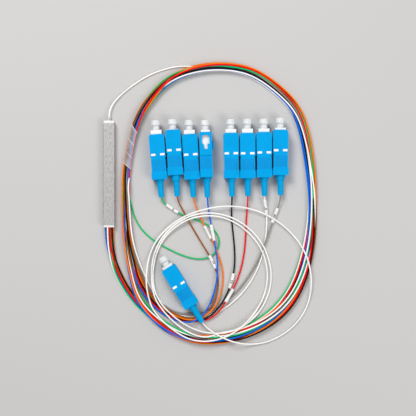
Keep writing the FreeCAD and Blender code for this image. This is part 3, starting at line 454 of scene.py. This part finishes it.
def lane_targets():
    """Where each output would like to be, (out, height), at every section of both turns."""
    wanted = np.full((len(OUTPUTS), 2 * len(COIL), 2), np.nan)
    for index, (_, _, half, first, second, on_top) in enumerate(COIL):
        for turn, lane in enumerate((first, second)):
            if lane is None:
                continue
            low, high, order = lane
            for place, letter in enumerate(order):
                out = half * (low + (high - low) * place / (len(order) - 1))
                # the second turn lies on the first, whose fibres take two levels in turn
                level = 3 if letter in on_top else 2 if turn else place % 2
                number = LETTERS.index(letter.lower())
                wanted[number, turn * len(COIL) + index] = out, LOW + LEVEL * level
    return wanted


def held_lead(name, place):
    """(out, height) of an output's lead-in where it meets the coil, before section 1."""
    _, column, _, row = LEAD_PLACES[name]
    out = LEADS_OUT - LEADS_DRIFT * place - LEAD_PITCH * (column - LEAD_MIDDLE)
    return out, OVER if row > 0 else LOW


def held_trunk(name, place):
    """(out, height) of an output in the trunk, at a place of the second turn."""
    return TRUNK_OUT - TRUNK_DRIFT * (place - LAST) - TRUNK_PITCH * trunk_lane(name), LOW


def starting_lanes():
    """Where each output starts, (out, height) at all places of both turns, and where it is free
    to move: not in its lead-in, in the trunk or on its way to its tail."""
    wanted = lane_targets()
    where = np.full((len(OUTPUTS), 2 * len(PLACES), 2), np.nan)
    free = np.zeros(where.shape[:2], bool)
    for number, name in enumerate(OUTPUTS):
        for step in range(2 * len(PLACES)):
            place = step / CUTS
            later = place - len(COIL)           # the place in the second turn
            if place < 1:
                where[number, step] = held_lead(name, place)
            elif name in LEAVES and later > LEAVES[name]:
                continue
            elif name == "green" and later >= GREEN_BEND:
                where[number, step] = GREEN_OUT - GREEN_CURVE * (later - GREEN_BEND) ** 2, LOW
            elif later > LAST:
                where[number, step] = held_trunk(name, later)
            else:
                low = int(place)
                share = place - low
                share = share * share * (3 - 2 * share)
                high = min(low + 1, len(COIL) + LAST)
                where[number, step] = (wanted[number, low] * (1 - share)
                                       + wanted[number, high] * share)
                free[number, step] = True
    return where, free


def push_apart(discs, movable):
    """The fibres moved out of each other's way, at each place where they may move."""
    gap = discs[:, None] - discs[None]
    far = np.linalg.norm(gap, axis=3)
    near = np.nan_to_num(SPACING - far, nan=0.0).clip(0)
    near[np.arange(len(discs)), np.arange(len(discs))] = 0
    gap = np.nan_to_num(gap / np.maximum(far, LEAST_GAP)[..., None])
    push = (gap * near[..., None]).sum(1) * PUSH
    return discs + np.where(movable[..., None], push, 0)


def ease(runs, free):
    """The runs smoothed: free points moved towards the middle between their neighbours."""
    smooth = runs.copy()
    smooth[:, 1:-1] = (runs[:, :-2] + runs[:, 2:]) / 2
    eased = free & ~np.isnan(smooth[..., 0])
    return np.where(eased[..., None], runs + EASE * (smooth - runs), runs)


def settle_coil():
    """Lays the fibres in the coil: they push each other apart, sink and run smoothly.

    Returns for each output its (out, height) at all places of both turns, and for the input
    (step, out, height) along its run."""
    count = len(PLACES)
    where, free = starting_lanes()
    want = where.copy()
    limit = np.concatenate([ring_half, ring_half]) - RADIUS
    lane_places, lane_outs, lane_heights = zip(*INPUT_LANE[::-1])
    input_want = np.stack([np.interp(PLACES, lane_places, lane_outs),
                           np.interp(PLACES, lane_places, lane_heights)], axis=1)
    input_at = input_want.copy()
    input_sink = np.where(input_want[:, 1] > OVER, SINK, INPUT_SINK)
    in_lane = (PLACES >= lane_places[0]) & (PLACES <= lane_places[-1])
    movable = np.concatenate([free[:, :count], free[:, count:], in_lane[None]])
    for sweep in range(SWEEPS):
        discs = np.concatenate([where[:, :count], where[:, count:], input_at[None]])
        discs[-1, ~in_lane] = np.nan
        discs = push_apart(discs, movable)
        first, second, its_lane = np.split(discs, (len(OUTPUTS), 2 * len(OUTPUTS)))
        where = np.concatenate([first, second], axis=1)
        input_at = np.where(in_lane[:, None], its_lane[0], input_at)
        if sweep < CALM_FROM:
            where[..., 0] += np.where(free, RETURN * (want[..., 0] - where[..., 0]), 0)
            where[..., 1] -= np.where(free, SINK, 0)
            input_at[:, 0] += INPUT_RETURN * (input_want[:, 0] - input_at[:, 0])
            input_at[:, 1] -= input_sink
        where = ease(where, free)
        input_at = ease(input_at[None], in_lane[None])[0]
        where[..., 0] = np.where(free, where[..., 0].clip(-limit, limit), where[..., 0])
        where[..., 1] = np.where(free, where[..., 1].clip(LOW), where[..., 1])
        input_at[:, 1] = input_at[:, 1].clip(LOW)
    return where, [(step, *input_at[step]) for step in np.flatnonzero(in_lane)[::-1]]


def coil_point(step, out, height):
    """A point of the coil in the frame, in millimetres."""
    step %= len(PLACES)
    x, y = ring_middle[step] + ring_out[step] * out
    return x, y, height


output_lanes, input_lane = settle_coil()


def output_route(name):
    """The line of one output fibre, from the module to inside its boot, and the place in it
    where its tail starts."""
    column, later_column, row, later_row = LEAD_PLACES[name]
    route = []
    for index, (fall, swap) in enumerate(zip(LEAD_FALLS, SWAP)):
        across = LEAD_PITCH * (column + (later_column - column) * swap - LEAD_MIDDLE)
        level = row + (later_row - row) * swap
        top = SEAL_Z + level * LEAD_ROWS / 2
        end = LOW + (OVER - LOW) * (level + 1) / 2
        x, y = beside(LEAD_IN, across)[index]
        route.append((x, y, end + (top - end) * fall))
    last = int((len(COIL) + LEAVES.get(name, LAST)) * CUTS)
    for step in range(CUTS, last + 1):
        route.append(coil_point(step, *output_lanes[OUTPUTS.index(name), step]))
    tail = len(route)
    if name in TRUNK_ORDER:
        route += beside(TRUNK, trunk_lane(name) * TRUNK_PITCH)
    return route + [(x, y, LOW) for x, y in TAILS[name]] + into_boot(name), tail


def make_cord(name, route, look):
    """A round fibre on a smooth line with the route's points as its control points."""
    curve = bpy.data.curves.new(name, "CURVE")
    curve.dimensions = "3D"
    curve.bevel_depth = RADIUS * MM
    curve.bevel_resolution = 2
    curve.use_fill_caps = True
    line = curve.splines.new("NURBS")
    line.points.add(len(route) - 1)
    for point, place in zip(line.points, route):
        point.co = (*(value * MM for value in place), 1)
    line.order_u = 3
    line.use_endpoint_u = True
    line.resolution_u = 5
    cord = add_object(name, curve)
    dress(cord, look)
    return cord


FINE = 16                   # points read from a cord's line for each of its own


def line_points(cord):
    """The points of a cord's own smooth line, in millimetres."""
    bare = cord.data.copy()
    bare.bevel_depth = 0
    bare.splines[0].resolution_u = FINE
    probe = add_object("probe", bare)
    bpy.context.view_layer.update()
    mesh = bpy.data.meshes.new_from_object(probe)
    points = [tuple(vertex.co / MM) for vertex in mesh.vertices]
    bpy.data.objects.remove(probe)
    bpy.data.meshes.remove(mesh)
    bpy.data.curves.remove(bare)
    return points


def route_line(route):
    """The points of the smooth line that a route gives."""
    trial = make_cord("trial", route, "white")
    points = line_points(trial)
    bpy.data.curves.remove(trial.data)
    return points


SLEEVE_NEAR, SLEEVE_ENDS = 2.5, 0.04    # to a sleeve's side, and past its ends as a share
CLEAR = 0.02                # between a fibre and what it lies on
LIFT_SWEEPS = 9
OWN_TURN = 9 * FINE         # how many points back a fibre's own line counts as another turn
LIFTED, LIFTED_BESIDE = 1.1, 0.6        # shares of what a point lacks: its lift, and the next's


def radius_at(point, sleeve):
    """A fibre's radius at a point, or its sleeve's where that is round it, seen from above."""
    if sleeve:
        start, end = sleeve
        run = np.subtract(end, start)
        along = np.dot(np.subtract(point[:2], start), run) / np.dot(run, run)
        off = np.subtract(point[:2], start) - run * along
        if -SLEEVE_ENDS < along < 1 + SLEEVE_ENDS and np.hypot(*off) < SLEEVE_NEAR:
            return SLEEVE_RADIUS
    return RADIUS


def needed_height(spot, own, under, tree, newest):
    """How high a fibre's middle has to be over a spot to lie on what is under it there, up to
    the newest point that counts."""
    need = own
    for _, other, far in tree.find_range((*spot, 0), own + SLEEVE_RADIUS + 0.1):
        reach = own + under[other][3] + CLEAR
        if other <= newest and far < reach:
            need = max(need, under[other][2] + math.sqrt(reach ** 2 - far ** 2))
    return need


def lie_down(route, first, laid, sleeve):
    """Lifts the points of a route, from the first one on, in low humps until its own line
    lies on the floor and on what was laid before it, its own earlier turns among that."""
    route = [list(point) for point in route]
    for _ in range(LIFT_SWEEPS):
        line = route_line(route)
        under = laid + [(*point, RADIUS) for point in line]
        tree = KDTree(len(under))
        for index, spot in enumerate(under):
            tree.insert((*spot[:2], 0), index)
        tree.balance()
        lift = [0.0] * len(route)
        for index, (x, y, z) in enumerate(line):
            place = index / (len(line) - 1) * (len(route) - 2)
            nearest = int(place) + 1
            if nearest < first or nearest > len(route) - 3:
                continue
            lack = needed_height((x, y), radius_at((x, y), sleeve), under, tree,
                                 len(laid) + index - OWN_TURN) - z
            if lack > CLEAR:
                lift[nearest] = max(lift[nearest], lack)
                beyond = nearest + (1 if place % 1 > 0.5 else -1)
                lift[beyond] = max(lift[beyond], LIFTED_BESIDE * lack)
        if not any(lift):
            break
        for index in range(first, len(route) - 2):
            route[index][2] += LIFTED * lift[index]
    return [tuple(point) for point in route]


# each fibre's route, the place in it where its tail starts, and the points of its line with
# their radius; first as routed, then as laid
routes, tails, lines, cords = {}, {}, {}, {}
for name in OUTPUTS:
    routes[name], tails[name] = output_route(name)
joined = INPUT_JOIN + [coil_point(*place) for place in input_lane]
routes["input"] = joined + [(x, y, LOW) for x, y in INPUT_LOOPS] + into_boot("input")
tails["input"] = len(joined)
for name, route in routes.items():
    lines[name] = [(*point, RADIUS) for point in route_line(route)]

for name in LAID_ORDER + ["input"]:
    laid = []
    for other in routes:
        if other in cords:
            laid += lines[other]
        elif other != name:
            laid += lines[other][:(tails[other] - 1) * FINE]
    sleeve = SLEEVES[name][:2] if name in SLEEVES else None
    routes[name] = lie_down(routes[name], tails[name], laid, sleeve)
    cords[name] = make_cord("fibre_" + name, routes[name], name if name != "input" else "white")
    lines[name] = [(*point, radius_at(point, sleeve)) for point in line_points(cords[name])]


# ---------------------------------------------------------------- number sleeves
# a sleeve's bore round its fibre, how far its rims are rounded, and how much slimmer it is
# between them; its figures' size and boldness, how far along it they are, and the ink's height
SLEEVE_SIDES, SLEEVE_BORE, SLEEVE_ROUNDING, SLEEVE_SLIMMER = 20, 0.05, 0.09, 0.02
FIGURE_SIZE, FIGURE_BOLD, FIGURE_PLACE, INK = 2.2, 0.055, 0.45, 0.012


def new_piece(name, vertices, faces, look, smooth=True):
    """A mesh piece from vertices in millimetres."""
    mesh = bpy.data.meshes.new(name)
    mesh.from_pydata([tuple(value * MM for value in vertex) for vertex in vertices], [], faces)
    mesh.validate()
    form = bmesh.new()
    form.from_mesh(mesh)
    bmesh.ops.recalc_face_normals(form, faces=form.faces)
    form.to_mesh(mesh)
    form.free()
    for face in mesh.polygons:
        face.use_smooth = smooth
    thing = add_object(name, mesh)
    dress(thing, look)
    return thing


def tube_faces(rows, sides, closed=False):
    """The faces between rings of vertices; a closed tube runs back to its first ring."""
    faces = []
    for row in range(rows if closed else rows - 1):
        for side in range(sides):
            after, beyond = (row + 1) % rows, (side + 1) % sides
            faces.append((row * sides + side, row * sides + beyond,
                          after * sides + beyond, after * sides + side))
    return faces


def round_point(middle, across, up, radius, angle):
    """A point of a circle, its angle counted from up towards across."""
    return middle + radius * (across * math.sin(angle) + up * math.cos(angle))


def sleeve_path(name):
    """The stretch of a fibre's line in its sleeve, with two directions across it."""
    start, end, _ = SLEEVES[name]
    line = [np.array(point[:3]) for point in lines[name]]
    from_tail = (tails[name] + 2) * FINE
    first, last = sorted(min(range(from_tail, len(line)), key=lambda index: np.hypot(
        *(line[index][:2] - place))) for place in (start, end))
    stations = []
    for index in range(first, last + 1, 2):
        along = line[min(index + 1, len(line) - 1)] - line[index - 1]
        along /= np.linalg.norm(along)
        up = np.array([0, 0, 1.0]) - along * along[2]
        up /= np.linalg.norm(up)
        stations.append((line[index], np.cross(along, up), up))
    return stations


def make_sleeve(name):
    """A soft white sleeve that bends with its fibre, a little fuller at its cut ends."""
    stations = sleeve_path(name)
    bore, rim = RADIUS + SLEEVE_BORE, SLEEVE_RADIUS - SLEEVE_ROUNDING
    profile = [(0, bore), (0, rim), (0, SLEEVE_RADIUS)]
    profile += [(place, SLEEVE_RADIUS - SLEEVE_SLIMMER) for place in range(1, len(stations) - 1)]
    profile += [(-1, SLEEVE_RADIUS), (-1, rim), (-1, bore)]
    vertices = [round_point(*stations[place], radius, 2 * math.pi * side / SLEEVE_SIDES)
                for place, radius in profile for side in range(SLEEVE_SIDES)]
    faces = tube_faces(len(profile), SLEEVE_SIDES, closed=True)
    return new_piece("sleeve_" + name, vertices, faces, "sleeve")


def make_figures(name):
    """The number printed on a sleeve, wrapped round it."""
    writing = bpy.data.curves.new("figures", "FONT")
    writing.body = "0" + number_of(name)
    writing.size = FIGURE_SIZE
    writing.offset = FIGURE_BOLD
    writing.align_x, writing.align_y = "CENTER", "CENTER"
    writing.resolution_u = 3
    holder = add_object("figures", writing)
    bpy.context.view_layer.update()
    flat = bpy.data.meshes.new_from_object(holder)
    bpy.data.objects.remove(holder)
    stations = sleeve_path(name)
    runs = np.cumsum([0] + [np.linalg.norm(b[0] - a[0]) for a, b in zip(stations, stations[1:])])
    turn = math.radians(SLEEVES[name][2])
    vertices = []
    for vertex in flat.vertices:
        spot = np.interp(runs[-1] * FIGURE_PLACE + vertex.co.x, runs, range(len(runs)))
        low = min(int(spot), len(stations) - 2)
        share = spot - low
        middle, across, up = (stations[low][k] * (1 - share) + stations[low + 1][k] * share
                              for k in range(3))
        vertices.append(round_point(middle, across, up, SLEEVE_RADIUS + INK,
                                    turn - vertex.co.y / SLEEVE_RADIUS))
    faces = [tuple(face.vertices) for face in flat.polygons]
    piece = new_piece("figures_" + name, vertices, faces, "ink", smooth=False)
    bpy.data.meshes.remove(flat)
    return piece


sleeves = {}
for name in OUTPUTS:
    sleeves[name] = [make_sleeve(name), make_figures(name)]
    for piece in sleeves[name]:
        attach(piece, "root")
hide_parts("number_sleeves")

# ---------------------------------------------------------------- the cords, in place of the CAD's fibres
for name, cord in cords.items():
    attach(cord, "root")
    number = number_of(name)
    replaced = ["input_fibre", "input_coil"] if name == "input" else ["output_fibre_" + number]
    if name == "green":
        replaced.append("output_coil")
    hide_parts(*replaced)


# ---------------------------------------------------------------- film round the bundle
# where in the coil the film starts and ends, how its rings slant, and its thickness; how much
# room it leaves round the fibres, and its edges, which lie over it, a little thicker
FILM_FROM, FILM_TO, FILM_SLANT, FILM_THICKNESS = 15.27, 16.62, 0.046, 0.03
FILM_SLACK, EDGE_SLACK = 0.10, 0.17
EDGE_SHARES, EDGE_HALF = (0.006, 0.335, 0.667, 0.994), 0.014
FILM_KEYS = np.linspace(FILM_FROM - 0.1, FILM_TO + 0.1, 24)     # where its reach is measured
FILM_SIDES = 48
FILM_ANGLES = np.arange(FILM_SIDES) * 2 * math.pi / FILM_SIDES
FILM_WAYS = np.stack([np.cos(FILM_ANGLES), np.sin(FILM_ANGLES)], axis=1)
FILM_TURNED = np.stack([-np.sin(FILM_ANGLES), np.cos(FILM_ANGLES)], axis=1)


def ring_frame(place):
    """The coil's middle and outward direction at any place."""
    run = run_at(place)
    run /= np.linalg.norm(run)
    return between(middles, place), np.array([run[1], -run[0]])


def film_reach(place, slack):
    """How far the film reaches in each direction round the fibres at a place of the coil."""
    step = place * CUTS
    low = int(step)
    discs = []
    for turn in (0, len(PLACES)):
        near, far = output_lanes[:, turn + low], output_lanes[:, turn + low + 1]
        discs += [disc for disc in near + (far - near) * (step - low) if not np.isnan(disc[0])]
    return (np.array(discs) @ FILM_WAYS.T).max(axis=0) + RADIUS + slack


def film_section(reach):
    """The outline that touches the film's reach in every direction."""
    slope = (np.roll(reach, -1) - np.roll(reach, 1)) / (4 * math.pi / FILM_SIDES)
    return FILM_WAYS * reach[:, None] + FILM_TURNED * slope[:, None]


def film_band(name, start, end, slack, look, count):
    """A band of film round the fibres; its rings are slanted as the film is wound."""
    around = np.array([film_reach(place, slack) for place in FILM_KEYS])
    soft = (np.roll(around, 1, axis=0) + around + np.roll(around, -1, axis=0)) / 3
    around[1:-1] = np.maximum(soft, around)[1:-1]
    on_floor = FILM_THICKNESS + 0.02 * slack
    vertices = []
    for place in np.linspace(start, end, count):
        reach = np.array([np.interp(place, FILM_KEYS, column) for column in around.T])
        for out, height in film_section(reach):
            middle, outward = ring_frame(place - FILM_SLANT * out)
            spot = middle + outward * out
            vertices.append((spot[0], spot[1], max(height, on_floor)))
    band = new_piece(name, vertices, tube_faces(count, FILM_SIDES), look)
    thick = band.modifiers.new("thickness", "SOLIDIFY")
    thick.thickness = FILM_THICKNESS * MM
    thick.offset = 1
    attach(band, "root")
    return band


wrap = film_band("film_wrap", FILM_FROM, FILM_TO, FILM_SLACK, "film", 40)
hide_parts("bundle_wrap")
for index, share in enumerate(EDGE_SHARES):
    middle = FILM_FROM + (FILM_TO - FILM_FROM) * share
    film_band("film_edge_%d" % (index + 1), middle - EDGE_HALF, middle + EDGE_HALF, EDGE_SLACK,
              "film_edge", 3)


# ---------------------------------------------------------------- the ferrules' springs
# a spring in its plug frame: where it ends, its radius, its wire's radius and the ferrule's
# travel; then its turns, and the points of one turn and round the wire
SPRING_FRONT, SPRING_BACK, SPRING_RADIUS, WIRE, TRAVEL = -7.35, -14.0, 1.8, 0.19, 1.0
SPRING_TURNS, WIRE_STEPS, WIRE_SIDES = 8, 22, 8


def grip_matrix(name):
    """The grip's own frame: Y forward, Z away from its key."""
    mount = next(mount for mount in frame["record"]["mounts"]
                 if mount["name"] == "sc_plug_" + number_of(name))
    forward = Vector(mount["axis"])
    across = forward.cross((0, 0, 1)).normalized()
    up = across.cross(forward)
    if name == "blue":
        across, up = up, -across
    turn = Matrix((across, forward, up)).transposed().to_4x4()
    return Matrix.Translation(Vector(mount["pos_m"]) - forward * CONNECTORS[name][3] * MM) @ turn


def make_spring(name):
    """A coil spring with closed ends, in its plug frame."""
    place = grip_matrix(name) @ Matrix.Translation((0, CONNECTORS[name][3] * MM, 0))
    steps = SPRING_TURNS * WIRE_STEPS
    turns = np.arange(steps + 1) / WIRE_STEPS
    length = SPRING_FRONT - SPRING_BACK - 2 * WIRE
    rise = np.interp(turns, [0, 1, SPRING_TURNS - 1, SPRING_TURNS],
                     [0, 2 * WIRE, length - 2 * WIRE, length])
    forward = np.array([0, 1, 0])
    vertices = []
    for turn, height in zip(turns, rise):
        angle = 2 * math.pi * turn
        outward = np.array([math.cos(angle), 0, math.sin(angle)])
        middle = outward * SPRING_RADIUS + forward * (SPRING_BACK + WIRE + height)
        for side in range(WIRE_SIDES):
            spot = round_point(middle, forward, outward, WIRE, 2 * math.pi * side / WIRE_SIDES)
            vertices.append(place @ Vector(spot * MM) / MM)
    faces = tube_faces(steps + 1, WIRE_SIDES)
    faces.append(tuple(range(WIRE_SIDES)))
    faces.append(tuple(range(steps * WIRE_SIDES, (steps + 1) * WIRE_SIDES)))
    spring = new_piece("spring_" + name, vertices, faces, "ferrule_springs")
    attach(spring, "root")
    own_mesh(spring)
    return spring


springs = [make_spring(name) for name in CONNECTORS]
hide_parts("ferrule_springs")


# ---------------------------------------------------------------- marks, and painted shade in the rib grooves
def grip_boxes(name, boxes, place, look, bevel):
    """Small boxes, (low corner, high corner) in the grip's frame, as one piece."""
    mesh = bpy.data.meshes.new(name)
    form = bmesh.new()
    for low, high in boxes:
        made = bmesh.ops.create_cube(form, size=1)["verts"]
        for vertex in made:
            vertex.co = Vector(low[axis] if vertex.co[axis] < 0 else high[axis]
                               for axis in range(3))
    bmesh.ops.bevel(form, geom=form.edges[:], offset=bevel, segments=2, affect="EDGES")
    form.transform(place @ Matrix.Scale(MM, 4))
    form.to_mesh(mesh)
    form.free()
    thing = add_object(name, mesh)
    dress(thing, look)
    return thing


# the two white marks on a grip, and painted shade in the grooves of its ribs, laid as thin
# darker lines:
# from where to where behind a rib's front one runs; then, on the flat sides and on the narrow
# ones, from where to where over the grip's middle it lies, and how far it reaches to each side
MARKS = [((1.36, -12.66, 2.95), (3.97, -11.34, 3.66)),
         ((-3.97, -12.66, 2.95), (-1.36, -11.34, 3.66))]
RIBS, FIRST_RIB, RIB_PITCH = 6, 15.5, 1.1
GROOVE_FRONT, GROOVE_BACK = 0.14, 0.41
FLAT_GROOVE, FLAT_REACH = (3.39, 3.44), 3.6
NARROW_GROOVE, NARROW_REACH = (3.94, 3.99), 3.1
RIB_SHADE_LINES = []
for rib in range(RIBS):
    start = -(FIRST_RIB + RIB_PITCH * rib)
    front, back = start - GROOVE_FRONT, start - GROOVE_BACK
    for side in (-1, 1):
        low, high = sorted(side * depth for depth in FLAT_GROOVE)
        RIB_SHADE_LINES.append(((-FLAT_REACH, back, low), (FLAT_REACH, front, high)))
        low, high = sorted(side * depth for depth in NARROW_GROOVE)
        RIB_SHADE_LINES.append(((low, back, -NARROW_REACH), (high, front, NARROW_REACH)))
# each grip carries its white marks and its lines of painted shade in the rib grooves
for name in CONNECTORS:
    place = grip_matrix(name)
    for piece in (grip_boxes("mark_" + name, MARKS, place, "mark", 0.06),
                  grip_boxes("rib_shade_" + name, RIB_SHADE_LINES, place, "rib_shade", 0.01)):
        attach(piece, "grip_body_" + number_of(name))


# ---------------------------------------------------------------- the CAD parts' looks
for node, look in NODE_LOOKS.items():
    dress(frame["nodes"][node], look)
for name in CONNECTORS:
    for look in ("dust_cap", "ferrule", "grip"):
        dress(frame["nodes"][look + "_" + number_of(name)], look)


# ---------------------------------------------------------------- floor, light and camera
LIT_POINT = (0.058, -0.02, 0)           # in metres
VIEW_CENTRE = (58.6, -20.1)
VIEW_WIDTH, VIEW_HEIGHT = 246.3, 2.0    # how wide the view is, at this height over the floor


def plain(name, colour):
    """A dull surface of one colour, for the floor."""
    material, _, shader = new_material(name)
    shader.inputs["Base Color"].default_value = (*colour, 1)
    shader.inputs["Roughness"].default_value = 0.9
    shader.inputs["Specular IOR Level"].default_value = 0.1
    return material


def lamp(name, place, size, power):
    """A round area lamp that shines at the part."""
    light = bpy.data.lights.new(name, "AREA")
    light.shape = "DISK"
    light.size = size
    light.energy = power
    thing = add_object(name, light)
    thing.location = place
    aim = Vector(LIT_POINT) - Vector(place)
    thing.rotation_euler = aim.to_track_quat("-Z", "Y").to_euler()


bpy.ops.mesh.primitive_plane_add(size=4, location=(0.06, 0, -0.0002))
floor = bpy.context.object
floor.name = "floor"
floor.data.materials.append(plain("floor_pale", (0.565, 0.555, 0.545)))

world = bpy.data.worlds.new("studio")
world.use_nodes = True
world.node_tree.nodes["Background"].inputs["Color"].default_value = (0.97, 0.98, 1.0, 1)
world.node_tree.nodes["Background"].inputs["Strength"].default_value = 0.46
scene.world = world

lamp("key", (-0.25, 0.55, 0.75), 0.45, 6.3)
lamp("fill", (0.60, -0.35, 0.70), 0.60, 3.0)

camera_data = bpy.data.cameras.new("camera")
camera_data.lens = 100
camera_data.sensor_width = 36
camera = add_object("camera", camera_data)
distance = VIEW_WIDTH * camera_data.lens / camera_data.sensor_width
camera.location = (VIEW_CENTRE[0] * MM, VIEW_CENTRE[1] * MM, (distance + VIEW_HEIGHT) * MM)
scene.camera = camera
scene.view_settings.view_transform = "Standard"
